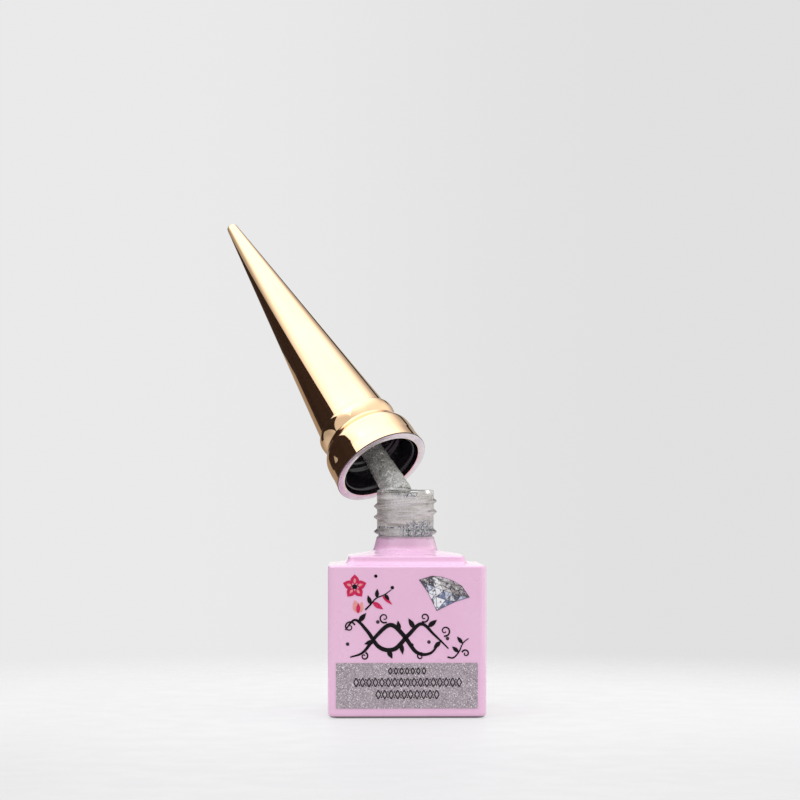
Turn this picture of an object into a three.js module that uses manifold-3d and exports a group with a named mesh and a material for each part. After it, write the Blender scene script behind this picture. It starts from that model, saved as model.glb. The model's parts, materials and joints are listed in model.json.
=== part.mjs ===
// Square bottle of gel nail polish, with its tall cone cap drawn and leaning in the neck.
// Millimetres, +Z up. The origin is the centre of the base, and -Y is the decorated front.
import * as THREE from 'three';
import { mergeVertices } from 'three/addons/utils/BufferGeometryUtils.js';
import Module from 'manifold-3d';

const wasm = await Module();
wasm.setup();

// Body: a square block with a breath of taper, measured on the outside of its lacquer.
const BODY_FOOT_HALF = 15.82;
const BODY_TOP_HALF = 15.87;
const BODY_CORNER = 1.5;
const HEEL_RADIUS = 1.1;
const HEEL_START_DEG = -75;
const SHOULDER_EDGE_Z = 29.87;
const SHOULDER_EDGE_RADIUS = 0.45;
const EDGE_END_DEG = 75;

// Shoulder: a low slope, a cove up to a raised square tier, and a second slope up to the round neck.
const COVE_START = { half: 13.6, z: 30.5 };
const COVE_BEND = { half: 12.1, z: 30.7 };
const TIER_TOP = { half: 11.8, z: 31.75 };
const TIER_EDGE_RADIUS = 0.4;
const NECK_FOOT = { half: 7.9, z: 32.85 };
const NECK_FILLET_BEND = { half: 6.6, z: 33.2 };
const NECK_FILLET_TOP = { half: 6.4, z: 34.0 };
const LACQUER_TOP = { half: 5.9, z: 35.9 };

// The lacquer is drawn thicker than a sprayed coat, so that it is a solid of its own.
const LACQUER_THICKNESS = 0.3;
const LACQUER_GAP = 0.1;
const FOOT_HALF = 13.2;

// Neck finish for a 13 mm cap: sealing rim, right-hand thread and transfer bead.
const NECK_RADIUS = 5.86;
const NECK_START_Z = 35.8;
const RIM_Z = 45.6;
const RIM_OUTER_EDGE = 0.3;
const BORE_RADIUS = 4.5;
const BORE_LIP = 0.3;
const BEAD = { radius: 6.5, z: 36.93, halfHeight: 0.6, round: 0.25 };
const NECK_THREAD = { radius: 5.85, ridge: 0.64, pitch: 2.2, startDeg: 130, turns: 1.78, startZ: 39.66 };

// Cavity and the gel in it.
const CAVITY_HALF = 11.8;
const CAVITY_CORNER = 3.0;
const CAVITY_FLOOR_Z = 6.0;
const CAVITY_FLOOR_RADIUS = 2.0;
const CAVITY_SHOULDER_Z = 24.9;
const CAVITY_SHOULDER_BEND_Z = 27.0;
const BORE_BEND_Z = 26.0;
const BORE_FOOT_Z = 28.0;
const GEL_GAP = 0.15;
const GEL_TOP_Z = 20.0;

// Glitter label on the front face.
const LABEL = { width: 28.2, height: 9.7, thickness: 0.12, gap: 0.06, centreX: -0.1, bottomZ: 1.7 };

// The drawn cap leans on the rim: its mouth centre, and its lean from the vertical.
const CAP_MOUTH = new THREE.Vector3(-4.8, 4.7, 50.3);
const CAP_LEAN_DEG = 43.0;
const CAP_AZIMUTH_DEG = 130.8;

// Lengths along the cap's own axis are measured from its mouth: up into the cap is positive.
const CAP_LENGTH = 75.65;
const CONE_FOOT = { radius: 7.95, s: 12.6 };
const CONE_TOP = { radius: 1.2, s: 74.75 };
const CREASE = { radius: 8.02, s: 12.5 };
const CREASE_BEND = [{ radius: 8.58, s: 12.0 }, { radius: 8.38, s: 12.32 }];
const BULGE_TOP = { radius: 8.62, s: 11.55 };
const BULGE_BEND = [{ radius: 8.42, s: 9.8 }, { radius: 8.68, s: 10.8 }];
const GROOVE = { radius: 8.22, s: 9.0 };
const GROOVE_BEND = { radius: 8.12, s: 8.62 };
const GROOVE_FOOT = { radius: 8.45, s: 8.2 };
const BELL_BEND = [{ radius: 9.85, s: 6.4 }, { radius: 9.25, s: 7.2 }];
const SKIRT_TOP = { radius: 9.9, s: 5.2 };
const SKIRT_WAIST = { radius: 10.0, s: 2.5 };
const TIP_BEND_RADIUS = 1.1;
const MOUTH_RADIUS = 10.22;
const MOUTH_EDGE = 0.25;
const MOUTH_BORE = 8.55;
const SEAT_RADIUS = 7.45;
const SEAT_START = 6.6;
const SEAT_END = 13.2;
const HOLLOW_FOOT = { radius: 6.5, s: 13.8 };
const HOLLOW_TOP = { radius: 1.2, s: 62.0 };
const FIT_GAP = 0.3;

// Threaded inner cap, liner and brush.
const INNER_CAP_RECESS = 0.8;
const INNER_CAP_BORE = 6.7;
const INNER_CAP_FLARE = 7.4;
const INNER_CAP_CEILING = 12.0;
const INNER_THREAD = { radius: 6.65, ridge: 0.42, pitch: 2.2, startDeg: 0, turns: 1.4, startZ: 6.7 };
const LINER = { bottom: 10.4, top: 11.0, radius: 6.3, hole: 1.6 };
const ROD_RADIUS = 1.2;
const ROD_COLLAR = { bottom: 11.25, top: 11.7, radius: 6.0 };
const ROD_STUB = { radius: 1.95, top: 13.4 };
const ROD_SOCKET = { radius: 0.85, depth: 3.0 };
const STAPLE = { width: 0.9, thickness: 0.35, height: 1.2, depth: 1.4 };
const GEL_COAT = { bottom: -3.9, top: 10.0, bottomRadius: 2.4, topRadius: 2.25 };

// The bristles bend below the rod: the bend's centre, its ball, and the tuft hanging from it.
const BEND_S = -13.2;
const BEND_RADIUS = 1.1;
const BEND_REACH = 1.4;
const TUFT_LENGTH = 11.2;
const TUFT_ROOT_RADIUS = 1.25;
const TUFT_BELLY_RADIUS = 1.75;
const TUFT_BELLY_SHARE = 0.75;

// Facets.
const CORNER_STEPS = 7;
const ROUND_SEGMENTS = 48;
const CAP_SEGMENTS = 56;
const SMALL_SEGMENTS = 20;
const THREAD_STEPS_PER_TURN = 28;
const ARC_DIVISIONS = 3;
const CAP_DIVISIONS = 5;

const UP = new THREE.Vector3(0, 0, 1);
const radians = THREE.MathUtils.degToRad;
const lerp = THREE.MathUtils.lerp;

function sphericalDirection(leanDeg, azimuthDeg) {
  const lean = radians(leanDeg);
  const azimuth = radians(azimuthDeg);
  return new THREE.Vector3(
    Math.sin(lean) * Math.cos(azimuth),
    Math.sin(lean) * Math.sin(azimuth),
    Math.cos(lean),
  );
}

const CAP_AXIS = sphericalDirection(CAP_LEAN_DEG, CAP_AZIMUTH_DEG);
const BEND_CENTRE = CAP_MOUTH.clone().addScaledVector(CAP_AXIS, BEND_S);

// ---- Materials ----

function material(color, roughness, metalness, extra = {}) {
  return new THREE.MeshStandardMaterial({ color, roughness, metalness, ...extra });
}

// ---- Solids and booleans ----

function toSolid(geometry) {
  const bare = geometry.index ? geometry.clone() : geometry;
  bare.deleteAttribute('normal');
  bare.deleteAttribute('uv');
  const merged = mergeVertices(bare, 1e-5);
  const mesh = new wasm.Mesh({
    numProp: 3,
    vertProperties: new Float32Array(merged.attributes.position.array),
    triVerts: new Uint32Array(merged.index.array),
  });
  mesh.merge();
  return new wasm.Manifold(mesh);
}

function toGeometry(solid) {
  const mesh = solid.getMesh();
  const geometry = new THREE.BufferGeometry();
  geometry.setAttribute('position', new THREE.BufferAttribute(new Float32Array(mesh.vertProperties), 3));
  geometry.setIndex(new THREE.BufferAttribute(new Uint32Array(mesh.triVerts), 1));
  geometry.computeVertexNormals();
  return geometry;
}

// ---- Turned and squared shapes ----

// A profile of (radius, height) points turned about +Z.
function turned(profile, segments) {
  const geometry = new THREE.LatheGeometry(profile, segments);
  geometry.rotateX(Math.PI / 2);
  return geometry;
}

function profileOf(pairs) {
  return pairs.map(([radius, height]) => new THREE.Vector2(radius, height));
}

// Corner radius of a squared section: small on the wide part, a full circle at the round part.
function cornerRadius(half, square, round) {
  if (half <= round.half) {
    return half;
  }
  const share = Math.min((half - round.half) / (square.half - round.half), 1);
  return lerp(round.half, square.corner, share);
}

// Each outline point is (half width, height, corner radius).
function outlineOf(points, square, round) {
  return points.map((point) => (
    new THREE.Vector3(point.x, point.y, cornerRadius(point.x, square, round))
  ));
}

// The same outline, moved into the material by a distance.
function insetOutline(outline, distance) {
  return outline.map((point, index) => {
    const before = outline[Math.max(index - 1, 0)];
    const after = outline[Math.min(index + 1, outline.length - 1)];
    const run = new THREE.Vector2(after.x - before.x, after.y - before.y).normalize();
    const shift = distance * run.y;
    return new THREE.Vector3(point.x - shift, point.y + distance * run.x, point.z - shift);
  });
}

// A lathe whose rings are pushed out into squares with round corners.
function squared(outline) {
  const segments = 4 * CORNER_STEPS;
  const geometry = new THREE.LatheGeometry(outline, segments);
  const position = geometry.attributes.position;
  for (let ring = 0; ring <= segments; ring += 1) {
    const corner = Math.floor(ring / CORNER_STEPS) % 4;
    const quarter = radians(45 + 90 * corner);
    const angle = radians(90 * corner + (90 * ((ring % CORNER_STEPS) + 0.5)) / CORNER_STEPS);
    const signX = Math.sign(Math.cos(quarter));
    const signY = Math.sign(Math.sin(quarter));
    outline.forEach((point, index) => {
      const centre = point.x - point.z;
      position.setXYZ(
        ring * outline.length + index,
        signX * centre + point.z * Math.cos(angle),
        signY * centre + point.z * Math.sin(angle),
        point.y,
      );
    });
  }
  geometry.computeVertexNormals();
  return geometry;
}

// A round ridge wound as a right-hand helix about +Z.
class Helix extends THREE.Curve {
  constructor(spec) {
    super();
    this.spec = spec;
  }

  getPoint(share, target = new THREE.Vector3()) {
    const { radius, pitch, startDeg, turns, startZ } = this.spec;
    const angle = radians(startDeg) + 2 * Math.PI * turns * share;
    return target.set(radius * Math.cos(angle), radius * Math.sin(angle), startZ + pitch * turns * share);
  }
}

function threadRidge(spec) {
  const section = new THREE.Shape();
  section.absarc(0, 0, spec.ridge, 0, 2 * Math.PI);
  return new THREE.ExtrudeGeometry(section, {
    steps: Math.round(THREAD_STEPS_PER_TURN * spec.turns),
    curveSegments: 8,
    extrudePath: new Helix(spec),
  });
}

// ---- Bottle ----

const BODY_SECTION = { half: TIER_TOP.half, corner: BODY_CORNER };
const NECK_SECTION = { half: NECK_FOOT.half };

function bodyOutline() {
  const path = new THREE.Path();
  path.absarc(
    BODY_FOOT_HALF - HEEL_RADIUS, HEEL_RADIUS, HEEL_RADIUS,
    radians(HEEL_START_DEG), 0, false,
  );
  path.lineTo(BODY_TOP_HALF, SHOULDER_EDGE_Z);
  path.absarc(
    BODY_TOP_HALF - SHOULDER_EDGE_RADIUS, SHOULDER_EDGE_Z, SHOULDER_EDGE_RADIUS,
    0, radians(EDGE_END_DEG), false,
  );
  path.lineTo(COVE_START.half, COVE_START.z);
  path.quadraticCurveTo(COVE_BEND.half, COVE_BEND.z, TIER_TOP.half, TIER_TOP.z);
  path.absarc(
    TIER_TOP.half - TIER_EDGE_RADIUS, TIER_TOP.z, TIER_EDGE_RADIUS,
    0, radians(EDGE_END_DEG), false,
  );
  path.lineTo(NECK_FOOT.half, NECK_FOOT.z);
  path.quadraticCurveTo(NECK_FILLET_BEND.half, NECK_FILLET_BEND.z, NECK_FILLET_TOP.half, NECK_FILLET_TOP.z);
  path.lineTo(LACQUER_TOP.half, LACQUER_TOP.z);
  const points = path.getPoints(ARC_DIVISIONS);
  return outlineOf(points, BODY_SECTION, NECK_SECTION);
}

function cavityOutline(topZ) {
  const path = new THREE.Path();
  path.moveTo(0, CAVITY_FLOOR_Z);
  path.lineTo(CAVITY_HALF - CAVITY_FLOOR_RADIUS, CAVITY_FLOOR_Z);
  path.absarc(
    CAVITY_HALF - CAVITY_FLOOR_RADIUS, CAVITY_FLOOR_Z + CAVITY_FLOOR_RADIUS, CAVITY_FLOOR_RADIUS,
    radians(-90), 0, false,
  );
  path.lineTo(CAVITY_HALF, Math.min(topZ, CAVITY_SHOULDER_Z));
  if (topZ > BORE_FOOT_Z) {
    path.bezierCurveTo(
      CAVITY_HALF, CAVITY_SHOULDER_BEND_Z, BORE_RADIUS, BORE_BEND_Z, BORE_RADIUS, BORE_FOOT_Z,
    );
    path.lineTo(BORE_RADIUS, RIM_Z - BORE_LIP);
    path.lineTo(BORE_RADIUS + BORE_LIP, RIM_Z);
    path.lineTo(BORE_RADIUS + BORE_LIP, topZ);
  }
  path.lineTo(0, topZ);
  const square = { half: CAVITY_HALF, corner: CAVITY_CORNER };
  return outlineOf(path.getPoints(ARC_DIVISIONS), square, { half: BORE_RADIUS + BORE_LIP });
}

function neckBlank() {
  const foot = LACQUER_TOP.half - LACQUER_THICKNESS - LACQUER_GAP;
  return turned(profileOf([
    [0, NECK_START_Z],
    [foot, NECK_START_Z],
    [foot, LACQUER_TOP.z + LACQUER_GAP],
    [NECK_RADIUS, BEAD.z - BEAD.halfHeight],
    [BEAD.radius - BEAD.round, BEAD.z - BEAD.round],
    [BEAD.radius, BEAD.z],
    [BEAD.radius - BEAD.round, BEAD.z + BEAD.round],
    [NECK_RADIUS, BEAD.z + BEAD.halfHeight],
    [NECK_RADIUS, RIM_Z - RIM_OUTER_EDGE],
    [NECK_RADIUS - RIM_OUTER_EDGE, RIM_Z],
    [0, RIM_Z],
  ]), ROUND_SEGMENTS);
}

function glassBottle() {
  const skin = insetOutline(bodyOutline(), LACQUER_THICKNESS + LACQUER_GAP);
  const outline = [
    new THREE.Vector3(0, 0, 0),
    new THREE.Vector3(FOOT_HALF, 0, BODY_CORNER),
    new THREE.Vector3(FOOT_HALF, skin[0].y, BODY_CORNER),
    ...skin,
    new THREE.Vector3(0, LACQUER_TOP.z, 0),
  ];
  const blank = toSolid(squared(outline)).add(toSolid(neckBlank()));
  const threaded = blank.add(toSolid(threadRidge(NECK_THREAD)));
  return toGeometry(threaded.subtract(toSolid(squared(cavityOutline(RIM_Z + 1)))));
}

function pinkLacquerCoat() {
  const outer = bodyOutline();
  const inner = insetOutline(outer, LACQUER_THICKNESS).reverse();
  return squared([...outer, ...inner, outer[0]]);
}

function gelPolish() {
  const wall = insetOutline(cavityOutline(GEL_TOP_Z).slice(0, -1), GEL_GAP);
  return squared([...wall, new THREE.Vector3(0, GEL_TOP_Z, 0)]);
}

function glitterLabel() {
  const shape = new THREE.Shape();
  shape.moveTo(-LABEL.width / 2, 0);
  shape.lineTo(LABEL.width / 2, 0);
  shape.lineTo(LABEL.width / 2, LABEL.height);
  shape.lineTo(-LABEL.width / 2, LABEL.height);
  return new THREE.ExtrudeGeometry(shape, { depth: LABEL.thickness, bevelEnabled: false });
}

// ---- Bristles: the tuft hangs straight down from the bend ----

function bristleTuft() {
  const top = -BEND_REACH;
  const path = new THREE.Path();
  path.moveTo(0, -TUFT_LENGTH);
  path.quadraticCurveTo(TUFT_BELLY_RADIUS, -TUFT_LENGTH, TUFT_BELLY_RADIUS, -TUFT_BELLY_SHARE * TUFT_LENGTH);
  path.lineTo(TUFT_ROOT_RADIUS, top);
  path.lineTo(0, top);
  return turned(path.getPoints(ARC_DIVISIONS), SMALL_SEGMENTS);
}

function bristleBend() {
  return new THREE.SphereGeometry(BEND_RADIUS, SMALL_SEGMENTS, SMALL_SEGMENTS / 2);
}

// ---- Cap and brush, along the cap's own axis ----

function brushRod() {
  const bottom = BEND_S + BEND_REACH;
  const socketTop = bottom + ROD_SOCKET.depth;
  return turned(profileOf([
    [0, socketTop],
    [ROD_SOCKET.radius, socketTop],
    [ROD_SOCKET.radius, bottom],
    [ROD_RADIUS, bottom],
    [ROD_RADIUS, ROD_COLLAR.bottom],
    [ROD_COLLAR.radius, ROD_COLLAR.bottom],
    [ROD_COLLAR.radius, ROD_COLLAR.top],
    [ROD_STUB.radius, ROD_COLLAR.top],
    [ROD_STUB.radius, ROD_STUB.top],
    [0, ROD_STUB.top],
  ]), SMALL_SEGMENTS);
}

function anchorStaple() {
  const geometry = new THREE.BoxGeometry(STAPLE.width, STAPLE.thickness, STAPLE.height);
  const socketTop = BEND_S + BEND_REACH + ROD_SOCKET.depth;
  geometry.translate(0, 0, socketTop - STAPLE.depth);
  return geometry;
}

function gelCoat() {
  const inside = ROD_RADIUS + FIT_GAP;
  return turned(profileOf([
    [inside, GEL_COAT.bottom],
    [GEL_COAT.bottomRadius, GEL_COAT.bottom],
    [GEL_COAT.topRadius, GEL_COAT.top],
    [inside, GEL_COAT.top],
    [inside, GEL_COAT.bottom],
  ]), SMALL_SEGMENTS);
}

function sealingLiner() {
  return turned(profileOf([
    [LINER.hole, LINER.bottom],
    [LINER.radius, LINER.bottom],
    [LINER.radius, LINER.top],
    [LINER.hole, LINER.top],
    [LINER.hole, LINER.bottom],
  ]), ROUND_SEGMENTS / 2);
}

function innerCap() {
  const top = SEAT_END - FIT_GAP;
  const socket = ROD_STUB.radius + FIT_GAP;
  const wide = MOUTH_BORE - FIT_GAP;
  const narrow = SEAT_RADIUS - FIT_GAP;
  const shell = turned(profileOf([
    [INNER_CAP_FLARE, INNER_CAP_RECESS],
    [wide, INNER_CAP_RECESS],
    [wide, SEAT_START - 2 * FIT_GAP],
    [narrow, SEAT_START - FIT_GAP],
    [narrow, top],
    [socket, top],
    [socket, INNER_CAP_CEILING],
    [INNER_CAP_BORE, INNER_CAP_CEILING],
    [INNER_CAP_BORE, SEAT_START - FIT_GAP],
    [INNER_CAP_FLARE, SEAT_START - 3 * FIT_GAP],
    [INNER_CAP_FLARE, INNER_CAP_RECESS],
  ]), ROUND_SEGMENTS);
  return toGeometry(toSolid(shell).add(toSolid(threadRidge(INNER_THREAD))));
}

function curveThrough(path, [first, second], end) {
  path.bezierCurveTo(first.radius, first.s, second.radius, second.s, end.radius, end.s);
}

function overcap() {
  const path = new THREE.Path();
  path.moveTo(0, HOLLOW_TOP.s + HOLLOW_TOP.radius);
  path.lineTo(HOLLOW_TOP.radius, HOLLOW_TOP.s);
  path.lineTo(HOLLOW_FOOT.radius, HOLLOW_FOOT.s);
  path.lineTo(SEAT_RADIUS, SEAT_END);
  path.lineTo(SEAT_RADIUS, SEAT_START);
  path.lineTo(MOUTH_BORE, SEAT_START - FIT_GAP);
  path.lineTo(MOUTH_BORE, 0);
  path.lineTo(MOUTH_RADIUS - MOUTH_EDGE, 0);
  path.quadraticCurveTo(MOUTH_RADIUS, 0, MOUTH_RADIUS, MOUTH_EDGE);
  path.lineTo(SKIRT_WAIST.radius, SKIRT_WAIST.s);
  path.lineTo(SKIRT_TOP.radius, SKIRT_TOP.s);
  curveThrough(path, BELL_BEND, GROOVE_FOOT);
  path.quadraticCurveTo(GROOVE_BEND.radius, GROOVE_BEND.s, GROOVE.radius, GROOVE.s);
  curveThrough(path, BULGE_BEND, BULGE_TOP);
  curveThrough(path, CREASE_BEND, CREASE);
  path.lineTo(CONE_FOOT.radius, CONE_FOOT.s);
  path.lineTo(CONE_TOP.radius, CONE_TOP.s);
  path.quadraticCurveTo(TIP_BEND_RADIUS, CAP_LENGTH, 0, CAP_LENGTH);
  return turned(path.getPoints(CAP_DIVISIONS), CAP_SEGMENTS);
}

// ---- Assembly ----

function mesh(name, geometry, look) {
  const piece = new THREE.Mesh(geometry, look);
  piece.name = name;
  return piece;
}

function bottleGroup() {
  const group = new THREE.Group();
  const clearGlass = material(0xe8ecea, 0.05, 0, { transparent: true, opacity: 0.4 });
  group.add(mesh('glass_bottle', glassBottle(), clearGlass));
  group.add(mesh('pink_lacquer_coat', pinkLacquerCoat(), material(0xe6bdd9, 0.2, 0)));
  group.add(mesh('gel_polish', gelPolish(), material(0x9a9794, 0.25, 0.4)));
  const label = mesh('front_glitter_label', glitterLabel(), material(0xa5969f, 0.4, 0.3));
  const rise = (LABEL.bottomZ - HEEL_RADIUS) / (SHOULDER_EDGE_Z - HEEL_RADIUS);
  const faceY = -lerp(BODY_FOOT_HALF, BODY_TOP_HALF, rise) - LABEL.gap;
  const slope = Math.atan2(BODY_TOP_HALF - BODY_FOOT_HALF, SHOULDER_EDGE_Z - HEEL_RADIUS);
  label.position.set(LABEL.centreX, faceY, LABEL.bottomZ);
  label.rotation.x = Math.PI / 2 + slope;
  group.add(label);
  return group;
}

function bristleGroup() {
  const group = new THREE.Group();
  group.position.copy(BEND_CENTRE);
  group.add(mesh('bristle_tuft', bristleTuft(), material(0xc9c6c2, 0.6, 0)));
  group.add(mesh('bristle_bend', bristleBend(), material(0xc9c6c2, 0.6, 0)));
  return group;
}

function capGroup() {
  const group = new THREE.Group();
  group.position.copy(CAP_MOUTH);
  group.quaternion.setFromUnitVectors(UP, CAP_AXIS);
  group.add(mesh('brush_rod', brushRod(), material(0xe4e2de, 0.45, 0)));
  group.add(mesh('anchor_staple', anchorStaple(), material(0xb8babc, 0.35, 1)));
  group.add(mesh('gel_coat', gelCoat(), material(0x8e8a86, 0.25, 0.4)));
  group.add(mesh('sealing_liner', sealingLiner(), material(0xdedcd6, 0.6, 0)));
  group.add(mesh('inner_cap', innerCap(), material(0x121114, 0.2, 0)));
  group.add(mesh('overcap', overcap(), material(0xe9c98f, 0.08, 1)));
  return group;
}

const bottle = new THREE.Group();
bottle.name = 'nail_polish_bottle';
bottle.add(bottleGroup(), bristleGroup(), capGroup());

export default bottle;
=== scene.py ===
"""Looks of the square nail polish bottle with its cone cap drawn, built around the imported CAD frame.

Shapes are worked out in millimetres and stored in metres, in the CAD's own frame: +Z up, -Y out of the
decorated front. Lengths along the cap's axis are measured from its mouth, up into the cap.
"""
import json
import math
import random

import bmesh
import bpy
from mathutils import Matrix, Vector, noise


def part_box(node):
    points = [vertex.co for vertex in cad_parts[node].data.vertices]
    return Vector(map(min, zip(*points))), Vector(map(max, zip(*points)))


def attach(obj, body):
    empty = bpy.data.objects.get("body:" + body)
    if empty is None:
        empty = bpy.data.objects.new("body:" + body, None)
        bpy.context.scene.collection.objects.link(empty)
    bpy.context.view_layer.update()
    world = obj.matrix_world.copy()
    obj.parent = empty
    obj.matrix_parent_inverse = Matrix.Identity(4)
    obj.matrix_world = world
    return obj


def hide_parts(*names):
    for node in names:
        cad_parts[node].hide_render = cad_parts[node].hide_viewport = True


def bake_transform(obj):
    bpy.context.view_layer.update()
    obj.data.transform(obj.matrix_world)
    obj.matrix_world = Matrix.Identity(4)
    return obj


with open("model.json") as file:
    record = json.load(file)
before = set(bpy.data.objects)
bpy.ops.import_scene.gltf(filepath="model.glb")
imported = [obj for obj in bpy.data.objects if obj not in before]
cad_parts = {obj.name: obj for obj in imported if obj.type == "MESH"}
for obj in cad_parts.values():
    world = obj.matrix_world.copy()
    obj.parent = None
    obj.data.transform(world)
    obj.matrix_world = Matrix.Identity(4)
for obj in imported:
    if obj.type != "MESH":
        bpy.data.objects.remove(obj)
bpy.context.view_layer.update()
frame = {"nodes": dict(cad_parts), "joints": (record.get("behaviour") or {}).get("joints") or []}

MM = 0.001
SCENE = bpy.context.scene
JOINTS = {joint["name"]: joint for joint in frame["joints"]}
CAP_AXIS = Vector(JOINTS["cap_turn"]["axis"]).normalized()
CAP_MOUTH = Vector(JOINTS["cap_turn"]["pos_m"])
BEND = Vector(JOINTS["brush_tilt"]["pos_m"]) / MM
UP = Vector((0, 0, 1))
CAP_PLACE = Matrix.Translation(CAP_MOUTH) @ UP.rotation_difference(CAP_AXIS).to_matrix().to_4x4()
RIM_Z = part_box("glass_bottle")[1].z / MM
BODY_TOP_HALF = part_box("pink_lacquer_coat")[1].x / MM
CAP_LENGTH = 75.61

# Bottle body, outside of the lacquer.
BODY_FOOT_HALF = BODY_TOP_HALF - 0.05
BODY_CORNER = 1.5
HEEL_RADIUS = 1.1
SHOULDER_EDGE_Z = 29.87
SHOULDER_EDGE_RADIUS = 0.45
COVE_START = (13.6, 30.5)
COVE_BEND = (12.1, 30.7)
TIER_TOP = (11.8, 31.75)
TIER_EDGE_RADIUS = 0.4
NECK_FOOT = (7.9, 32.85)
NECK_FILLET_BEND = (6.6, 33.2)
NECK_FILLET_TOP = (6.4, 34.0)
LACQUER_TOP = (5.9, 35.9)
LACQUER_THICKNESS = 0.3
GLASS_INSET = 0.4
FOOT_HALF = 13.2

# Neck finish.
NECK_RADIUS = 5.86
BORE_RADIUS = 4.5
BEAD_RADIUS = 6.5
BEAD_Z = 36.93
THREAD_PITCH = 2.2
THREAD_START_DEG = 130
THREAD_TURNS = 1.78
THREAD_START_Z = 39.66
THREAD_HEIGHT = 0.66
THREAD_HALF_WIDTH = 0.78

# Cavity.
CAVITY_HALF = 11.8
CAVITY_CORNER = 3.0
CAVITY_FLOOR_Z = 6.0
CAVITY_SHOULDER_Z = 24.9
BORE_FOOT_Z = 28.0
GEL_TOP_Z = 20.0


# ---------------------------------------------------------------- shader helpers

class NodeTree:
    """Short calls for making and joining nodes in one tree."""

    def __init__(self, tree):
        self.tree = tree

    def node(self, kind, inputs=None, **settings):
        node = self.tree.nodes.new(kind)
        for setting, value in settings.items():
            setattr(node, setting, value)
        for socket, value in (inputs or {}).items():
            if isinstance(value, bpy.types.NodeSocket):
                self.tree.links.new(value, node.inputs[socket])
            else:
                node.inputs[socket].default_value = value
        return node

    def span(self, value, low, high, out_low, out_high):
        """The value mapped smoothly from low..high to out_low..out_high."""
        return self.node("ShaderNodeMapRange", {
            "Value": value, "From Min": low, "From Max": high, "To Min": out_low, "To Max": out_high,
        }, interpolation_type="SMOOTHSTEP").outputs["Result"]

    def math(self, operation, first, second=0.0):
        return self.node("ShaderNodeMath", {0: first, 1: second}, operation=operation).outputs["Value"]


class Shader(NodeTree):
    """A Principled material with short calls for the nodes that feed it."""

    def __init__(self, name, **sockets):
        self.material = bpy.data.materials.new(name)
        self.material.use_nodes = True
        super().__init__(self.material.node_tree)
        self.bsdf = self.tree.nodes["Principled BSDF"]
        for socket, value in sockets.items():
            self.bsdf.inputs[socket.replace("_", " ")].default_value = value
        self.coordinates = self.node("ShaderNodeTexCoord").outputs["Object"]

    def feed(self, socket, output):
        self.tree.links.new(output, self.bsdf.inputs[socket])

    def noise(self, wavelength_mm, detail=2.0, roughness=0.5, vector=None):
        return self.node("ShaderNodeTexNoise", {
            "Vector": vector or self.coordinates, "Scale": 1 / (wavelength_mm * MM),
            "Detail": detail, "Roughness": roughness,
        }).outputs["Fac"]

    def cells(self, size_mm, feature="F1"):
        return self.node("ShaderNodeTexVoronoi", {
            "Vector": self.coordinates, "Scale": 1 / (size_mm * MM), "Randomness": 1.0,
        }, feature=feature)

    def ramp(self, factor, stops):
        node = self.node("ShaderNodeValToRGB", {"Fac": factor})
        elements = node.color_ramp.elements
        while len(elements) < len(stops):
            elements.new(0.5)
        for element, (position, color) in zip(elements, stops):
            element.position = position
            element.color = (*color, 1) if len(color) == 3 else color
        return node.outputs["Color"]

    def mix(self, factor, first, second):
        node = self.node("ShaderNodeMix", data_type="RGBA")
        for index, value in ((0, factor), (6, first), (7, second)):
            if isinstance(value, bpy.types.NodeSocket):
                self.tree.links.new(value, node.inputs[index])
            else:
                node.inputs[index].default_value = (*value, 1) if isinstance(value, tuple) else value
        return node.outputs[2]

    def bump(self, height, strength, distance_mm, normal=None):
        inputs = {"Height": height, "Strength": strength, "Distance": distance_mm * MM}
        if normal:
            inputs["Normal"] = normal
        return self.node("ShaderNodeBump", inputs).outputs["Normal"]

    def flake_normal(self, color, tilt):
        """The surface normal, tipped a different way on each flake."""
        normal = self.node("ShaderNodeNewGeometry").outputs["Normal"]
        centred = self.node("ShaderNodeVectorMath", {0: color, 1: (0.5, 0.5, 0.5)},
                            operation="SUBTRACT").outputs[0]
        tipped = self.node("ShaderNodeVectorMath", {0: centred, 1: (tilt, tilt, tilt), 2: normal},
                           operation="MULTIPLY_ADD").outputs[0]
        return self.node("ShaderNodeVectorMath", {0: tipped}, operation="NORMALIZE").outputs[0]

    def mottled(self, socket, wavelength_mm, detail, low, high, out_low, out_high):
        """Feeds a socket with noise mapped from low..high to out_low..out_high."""
        self.feed(socket, self.span(self.noise(wavelength_mm, detail), low, high, out_low, out_high))

    def toned(self, wavelength_mm, detail, stops):
        """Feeds the base colour with noise through a colour ramp."""
        self.feed("Base Color", self.ramp(self.noise(wavelength_mm, detail), stops))

    def axes(self):
        """The object's own X, Y and Z, in metres."""
        return self.node("ShaderNodeSeparateXYZ", {"Vector": self.coordinates}).outputs

    def channel(self, color, name="Red"):
        return self.node("ShaderNodeSeparateColor", {"Color": color}).outputs[name]


# ---------------------------------------------------------------- materials

def gold_material():
    """Vacuum-metallised gold under a thin clear lacquer."""
    shader = Shader("gold_metallised", Metallic=1.0, Coat_Weight=0.05, Coat_Roughness=0.03)
    tone = shader.ramp(shader.noise(14, 3), [(0.35, (0.87, 0.585, 0.35)), (0.65, (0.90, 0.62, 0.38))])
    shader.feed("Base Color", tone)
    haze = shader.span(shader.noise(5, 4, 0.6), 0.35, 0.7, 0.03, 0.07)
    shader.feed("Roughness", haze)
    shader.feed("Normal", shader.bump(shader.noise(11, 1), 0.03, 0.015))
    return shader.material


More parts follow.
